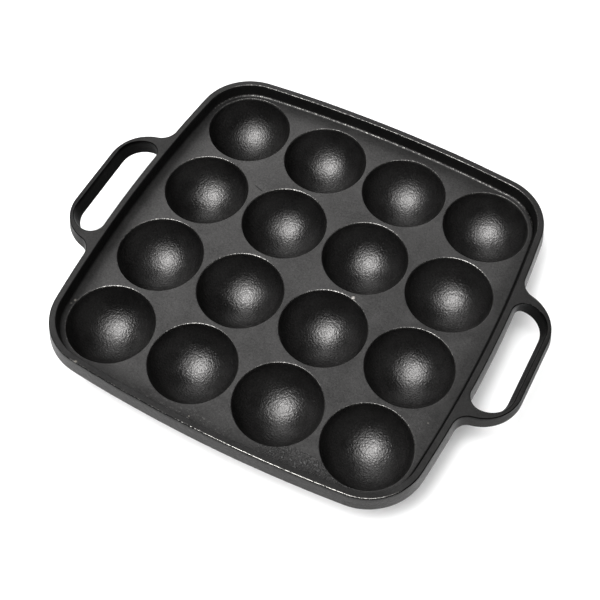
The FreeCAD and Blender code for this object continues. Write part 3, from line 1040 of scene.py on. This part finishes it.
pieces = {}
for tag, name in enumerate(NAMES):
    outer = [poly_vertices[i] for i in np.nonzero(face_tags == tag)[0]]
    own_caps = [f for f, t in cap_faces if tag in t]
    allf = outer + own_caps
    used = sorted({i for f in allf for i in f})
    place = {g: n for n, g in enumerate(used)}
    co = np.clip(VA[used] + LIFT, lo_box, hi_box) * MM
    mesh = bpy.data.meshes.new(name + "_cast")
    mesh.from_pydata(co.tolist(), [], [tuple(place[i] for i in f) for f in allf])
    bm = bmesh.new()
    bm.from_mesh(mesh)
    bmesh.ops.recalc_face_normals(bm, faces=bm.faces)
    if bm.calc_volume(signed=True) < 0:
        bmesh.ops.reverse_faces(bm, faces=bm.faces)
    loose = [e for e in bm.edges if len(e.link_faces) != 2]
    if loose:
        print("section", name, "has", len(loose), "edges not shared by two faces")
    bm.to_mesh(mesh)
    bm.free()
    mesh.polygons.foreach_set("use_smooth", np.ones(len(mesh.polygons), bool))
    loops = np.empty(len(mesh.loops), np.int64)
    mesh.loops.foreach_get("vertex_index", loops)
    g = np.array(used)[loops]
    is_outer = np.zeros(len(mesh.loops), bool)
    totals = np.empty(len(mesh.polygons), np.int64)
    mesh.polygons.foreach_get("loop_total", totals)
    is_outer[:int(totals[:len(outer)].sum())] = True
    face_n = np.empty(len(mesh.polygons) * 3)
    mesh.polygons.foreach_get("normal", face_n)
    ln = np.repeat(face_n.reshape(-1, 3), totals, axis=0)
    ln[is_outer] = N1[g[is_outer]]
    mesh.normals_split_custom_set(ln.tolist())
    skin = mesh.attributes.new("skin", "FLOAT_VECTOR", "POINT")
    skin.data.foreach_set("vector", SA[used].reshape(-1))
    dry = mesh.attributes.new("dry", "FLOAT", "POINT")
    dry.data.foreach_set("value", DA[used])
    ob = bpy.data.objects.new(name + "_cast", mesh)
    bpy.context.scene.collection.objects.link(ob)
    pieces[name] = ob
    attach(ob, "root")
    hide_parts(name)

bpy.data.meshes.remove(whole)

# =============================================================================
# Materials
# =============================================================================


class Graph:
    """Short calls for a material's nodes. Every call returns an output."""

    def __init__(self, material):
        material.use_nodes = True
        self.tree = material.node_tree
        self.bsdf = self.tree.nodes["Principled BSDF"]

    def put(self, socket, value):
        if isinstance(value, bpy.types.NodeSocket):
            self.tree.links.new(value, socket)
        else:
            socket.default_value = value

    def node(self, kind, out=0, ins=None, **props):
        n = self.tree.nodes.new(kind)
        for k, v in props.items():
            setattr(n, k, v)
        for k, v in (ins or {}).items():
            self.put(n.inputs[k], v)
        return n.outputs[out]

    def math(self, op, a, b=0.0, c=0.0, clamp=False):
        return self.node("ShaderNodeMath", ins={0: a, 1: b, 2: c}, operation=op, use_clamp=clamp)

    def ramp(self, x, a, b, lo=0.0, hi=1.0, smooth=True):
        return self.node("ShaderNodeMapRange", ins={"Value": x, "From Min": a, "From Max": b,
                                                    "To Min": lo, "To Max": hi},
                         interpolation_type="SMOOTHSTEP" if smooth else "LINEAR", clamp=True)

    def noise(self, at, size, detail=2.0, rough=0.5, twist=0.0):
        return self.node("ShaderNodeTexNoise", ins={"Vector": at, "Scale": 1.0 / size, "Detail": detail,
                                                    "Roughness": rough, "Distortion": twist})

    def shift(self, at, by):
        return self.node("ShaderNodeVectorMath", ins={0: at, 1: by}, operation="ADD")

    def blend(self, f, a, b):
        return self.node("ShaderNodeMix", out=2, ins={0: f, 6: a, 7: b}, data_type="RGBA")


# marks of use and of casting, in millimetres from the middle and from the plate's top
SPECKS = [((-70.6, -99.1, 7.2), 0.75), ((-94.2, -69.6, 0.8), 1.0), ((-93.6, -67.2, 0.3), 0.8),
          ((62.6, 71.7, -20.6), 0.35), ((-45.4, -98.2, 7.2), 0.4), ((-10.4, -95.9, 0.0), 0.45),
          ((-1.5, -74.4, 0.0), 0.4), ((90.7, -46.6, 0.0), 0.4)]
DUST = ((-14.0, -96.5), (34.0, 6.0))
PATCH = ((52.0, -93.8), (31.0, 7.5))
SCRATCH = ((-49.2, 38.1), (-43.0, 36.1))
NICK = (28.9, -0.95, -0.2)

iron = bpy.data.materials.new("seasoned_iron")
g = Graph(iron)
obj = g.node("ShaderNodeTexCoord", out=3)
mm = g.node("ShaderNodeVectorMath", ins={0: obj, 3: 1000.0}, operation="SCALE")
attr = g.node("ShaderNodeAttribute", out=1, attribute_name="skin", attribute_type="GEOMETRY")
sep = g.node("ShaderNodeSeparateXYZ", ins={0: attr}).node
season_and_shading, worn_and_glint, pebbled = sep.outputs[0], sep.outputs[1], sep.outputs[2]
dull = g.node("ShaderNodeAttribute", out=2, attribute_name="dry", attribute_type="GEOMETRY")

# rough patch of the casting on the near strip of the plate
flat = g.node("ShaderNodeVectorMath", ins={0: mm, 1: (-PATCH[0][0], -PATCH[0][1], -PLATE_TOP)}, operation="ADD")
flat = g.node("ShaderNodeVectorMath", ins={0: flat, 1: (1 / PATCH[1][0], 1 / PATCH[1][1], 0.5)}, operation="MULTIPLY")
patch_d = g.node("ShaderNodeVectorMath", out=1, ins={0: flat}, operation="LENGTH")
patch = g.ramp(patch_d, 1.1, 0.6)

# heights of the skin, in millimetres
cells = g.node("ShaderNodeTexVoronoi", ins={"Vector": mm, "Scale": 1 / 1.05, "Smoothness": 0.5, "Randomness": 1.0},
               feature="SMOOTH_F1")
lumps = g.noise(mm, 0.85, 2.0, 0.5, 0.3)
worms = g.noise(g.shift(mm, (61, 7, 44)), 1.5, 1.5, 0.5, 1.0)
grain = g.noise(g.shift(mm, (40, 10, 70)), 0.55, 3.0, 0.6)
wide = g.noise(g.shift(mm, (5, 80, 20)), 2.6, 2.0, 0.5)
pebble_h = g.math("MULTIPLY_ADD", cells, -0.10, g.math("MULTIPLY", lumps, 0.165))
grain_h = g.math("MULTIPLY_ADD", grain, 0.03, g.math("MULTIPLY", wide, 0.07))
grain_h = g.math("MULTIPLY", grain_h, g.ramp(season_and_shading, 0.75, 0.35, 1.0, 2.6))
patch_h = g.math("MULTIPLY", g.math("MULTIPLY", g.ramp(worms, 0.44, 0.70), patch), 0.62)
height = g.math("MULTIPLY_ADD", pebble_h, pebbled, g.math("ADD", grain_h, patch_h))
normal = g.node("ShaderNodeBump", ins={"Height": height, "Distance": 0.001, "Strength": 1.0})

# reflectance: dark oxide, richer where the iron is seasoned, with painted light and shade in its level, and bare metal
# where edges are worn and where painted glints are put
blotch = g.noise(g.shift(mm, (9, 33, 61)), 14.0, 3.0, 0.55)
speckle = g.noise(g.shift(mm, (71, 3, 17)), 1.1, 2.0, 0.6)
fine = g.noise(g.shift(mm, (31, 47, 83)), 0.5, 2.0, 0.6)
tone = g.math("MULTIPLY_ADD", speckle, 0.42, g.math("MULTIPLY_ADD", fine, 0.50, g.math("MULTIPLY", blotch, 0.38)))
tone = g.ramp(tone, 0.38, 0.92, 0.5, 1.5, smooth=False)
level = g.math("MULTIPLY", g.math("MULTIPLY_ADD", season_and_shading, 0.040, 0.026), tone)
dark = g.node("ShaderNodeCombineColor", ins={0: g.math("MULTIPLY", level, 1.02), 1: level,
                                             2: g.math("MULTIPLY", level, 0.99)})
bare_glint_noise = g.noise(g.shift(mm, (23, 57, 3)), 0.7, 3.0, 0.65)
bare_and_glint = g.math("MULTIPLY", g.ramp(g.math("MULTIPLY_ADD", worn_and_glint, 0.50, bare_glint_noise), 0.55, 0.74), g.ramp(worn_and_glint, 0.02, 0.12))
bare_and_glint = g.math("MULTIPLY", bare_and_glint, g.ramp(fine, 0.3, 0.6, 0.7, 1.0))
# bright bare metal on edges, from wear and painted glints
colour = g.blend(bare_and_glint, dark, (0.215, 0.21, 0.20, 1))
specks = None
for (x, y, z), r in SPECKS:
    d = g.node("ShaderNodeVectorMath", out=1, ins={0: mm, 1: (x, y, z + PLATE_TOP)}, operation="DISTANCE")
    near_it = g.ramp(d, r * 1.15, r * 0.6)
    specks = near_it if specks is None else g.math("MAXIMUM", specks, near_it)
spots = g.math("MULTIPLY", g.math("MULTIPLY", g.ramp(worms, 0.50, 0.68), patch), 0.33)
dust_d = g.node("ShaderNodeVectorMath", ins={0: mm, 1: (-DUST[0][0], -DUST[0][1], -PLATE_TOP)}, operation="ADD")
dust_d = g.node("ShaderNodeVectorMath", ins={0: dust_d, 1: (1 / DUST[1][0], 1 / DUST[1][1], 0.5)}, operation="MULTIPLY")
dust_d = g.node("ShaderNodeVectorMath", out=1, ins={0: dust_d}, operation="LENGTH")
dust = g.math("MULTIPLY", g.ramp(dust_d, 1.2, 0.4), g.ramp(speckle, 0.60, 0.70))
colour = g.blend(g.math("MULTIPLY", dust, 0.22), colour, (0.20, 0.195, 0.185, 1))
colour = g.blend(spots, colour, (0.15, 0.15, 0.15, 1))
colour = g.blend(g.math("MULTIPLY", specks, 0.5), colour, (0.22, 0.205, 0.18, 1))

# the scratch: distance to a short line on the plate
(ax, ay), (bx, by) = SCRATCH
length = math.hypot(bx - ax, by - ay)
ux, uy = (bx - ax) / length, (by - ay) / length
rel = g.shift(mm, (-ax, -ay, -PLATE_TOP))
along = g.node("ShaderNodeVectorMath", out=1, ins={0: rel, 1: (ux, uy, 0)}, operation="DOT_PRODUCT")
across = g.node("ShaderNodeVectorMath", out=1, ins={0: rel, 1: (-uy, ux, 0)}, operation="DOT_PRODUCT")
near_line = g.ramp(g.math("ABSOLUTE", across), 0.42, 0.16)
inside_line = g.math("MULTIPLY", g.ramp(along, 0.0, 0.8), g.ramp(along, length, length - 0.8))
scratch = g.math("MULTIPLY", g.math("MULTIPLY", near_line, inside_line), g.ramp(worn_and_glint, 0.1, 0.0))
colour = g.blend(g.math("MULTIPLY", scratch, 0.62), colour, (0.006, 0.006, 0.006, 1))

rough = g.math("MULTIPLY_ADD", pebbled, -0.06, 0.42)
rough = g.math("MULTIPLY_ADD", g.ramp(worn_and_glint, 0.0, 0.3), -0.14, rough)
rough = g.math("ADD", rough, g.ramp(blotch, 0.3, 0.7, -0.03, 0.05))
rough = g.math("MULTIPLY_ADD", bare_and_glint, -0.08, rough)
rough = g.math("MULTIPLY_ADD", dull, 0.12, rough)

# a bright nick on one lip
nick_d = g.node("ShaderNodeVectorMath", out=1, ins={0: mm, 1: (NICK[0], NICK[1], NICK[2] + PLATE_TOP)},
                operation="DISTANCE")
nick_d = g.math("MULTIPLY_ADD", speckle, 0.9, nick_d)
nick = g.ramp(nick_d, 1.5, 1.1)
colour = g.blend(nick, colour, (0.42, 0.40, 0.38, 1))

# metal where it is bare (wear and painted glints) or seasoned, a duller oxide where it is dry
lost = g.math("MULTIPLY", dull, g.math("SUBTRACT", 1.0, bare_and_glint))
metal = g.math("MULTIPLY_ADD", lost, -0.8, 1.0)

g.put(g.bsdf.inputs["Base Color"], colour)
g.put(g.bsdf.inputs["Metallic"], metal)
g.put(g.bsdf.inputs["Roughness"], rough)
g.put(g.bsdf.inputs["Normal"], normal)
g.bsdf.inputs["Specular IOR Level"].default_value = 0.08
for ob in pieces.values():
    ob.data.materials.append(iron)

# =============================================================================
# Floor, light and camera
# =============================================================================
fm = bpy.data.meshes.new("floor")
rings, cols = 24, 96
fv = [(0.0, 0.0, 0.0)]
for r in range(1, rings + 1):
    rad = 1.9 * (r / rings) ** 2
    for c in range(cols):
        a = 2 * math.pi * c / cols
        fv.append((rad * math.cos(a), rad * math.sin(a), 0.0))
ff = [(0, 1 + c, 1 + (c + 1) % cols) for c in range(cols)]
for r in range(rings - 1):
    for c in range(cols):
        a, b = 1 + r * cols + c, 1 + r * cols + (c + 1) % cols
        ff.append((a, a + cols, b + cols, b))
fm.from_pydata(fv, [], ff)
floor = bpy.data.objects.new("floor", fm)
bpy.context.scene.collection.objects.link(floor)
white = bpy.data.materials.new("floor_white")
white.use_nodes = True
wb = white.node_tree.nodes["Principled BSDF"]
wb.inputs["Base Color"].default_value = (0.86, 0.86, 0.86, 1)
wb.inputs["Roughness"].default_value = 0.9
wb.inputs["Emission Color"].default_value = (1, 1, 1, 1)
wb.inputs["Emission Strength"].default_value = 0.17
fm.materials.append(white)

scene = bpy.context.scene
scene.view_settings.view_transform = "Standard"

world = bpy.data.worlds.new("studio")
scene.world = world
world.use_nodes = True
bg = world.node_tree.nodes["Background"]
bg.inputs["Color"].default_value = (1, 1, 1, 1)
# a pale band at the horizon, darker overhead, where the softboxes are
w_links, w_nodes = world.node_tree.links, world.node_tree.nodes
w_dir = w_nodes.new("ShaderNodeTexCoord")
w_sep = w_nodes.new("ShaderNodeSeparateXYZ")
w_map = w_nodes.new("ShaderNodeMapRange")
w_map.interpolation_type = "SMOOTHSTEP"
for key, v in (("From Min", 0.16), ("From Max", 0.42), ("To Min", 0.9), ("To Max", 0.0)):
    w_map.inputs[key].default_value = v
w_links.new(w_dir.outputs["Generated"], w_sep.inputs[0])
w_links.new(w_sep.outputs[2], w_map.inputs["Value"])
w_links.new(w_map.outputs[0], bg.inputs["Strength"])


def area_light(name, at, towards, size, power, size_y=None):
    data = bpy.data.lights.new(name, "AREA")
    data.shape = "RECTANGLE"
    data.size = size
    data.size_y = size_y or size
    data.energy = power
    ob = bpy.data.objects.new(name, data)
    scene.collection.objects.link(ob)
    ob.location = at
    d = Vector(towards) - Vector(at)
    ob.rotation_mode = "QUATERNION"
    ob.rotation_quaternion = d.to_track_quat("-Z", "Y")
    ob.visible_camera = False
    return ob


MID = (0, 0, 0.02)
for name, at, size, size_y, power in (
        ("key", (-0.02, -0.49, 1.28), 0.25, 0.25, 1.92),
        ("key_soft", (-0.02, -0.49, 1.28), 0.50, 0.50, 3.63),
        ("key_wide", (-0.02, -0.49, 1.28), 0.90, 0.90, 5.78),
        ("key_broad", (-0.02, -0.49, 1.28), 1.60, 1.60, 13.73),
        ("top_near_left", (-0.52, -0.71, 3.08), 1.05, 1.00, 43.76),
        ("top_near_right", (0.52, -0.71, 3.08), 1.05, 1.00, 10.82),
        ("near_left", (-0.58, -1.59, 2.71), 1.12, 0.90, 31.70),
        ("far_left", (-1.09, 1.30, 2.71), 1.12, 0.90, 5.83),
        ("far", (-0.68, 2.32, 2.10), 1.31, 0.95, 6.34),
        ("far_left_low", (-1.83, 1.58, 2.10), 1.31, 0.95, 7.40),
        ("far_low", (-0.38, 2.90, 1.30), 1.45, 0.95, 10.76),
        ("left_low", (-1.78, 2.32, 1.30), 1.45, 0.95, 11.94)):
    area_light(name, at, MID, size, power, size_y)

cam_data = bpy.data.cameras.new("camera")
cam_data.sensor_width = 36.0
cam_data.lens = 1131.75 / 600.0 * 36.0
cam_data.clip_start = 0.01
cam_data.clip_end = 50.0
cam = bpy.data.objects.new("camera", cam_data)
scene.collection.objects.link(cam)
right = Vector((0.88466745, 0.46621676, 0.00233228))
down = Vector((0.3976833, -0.75199228, -0.52569535))
ahead = Vector((-0.24333413, 0.46599307, -0.85066971))
rot = Matrix((right, -down, -ahead)).transposed()
cam.matrix_world = Matrix.Translation((0.14382866, -0.27875203, 0.50796247)) @ rot.to_4x4()
scene.camera = cam
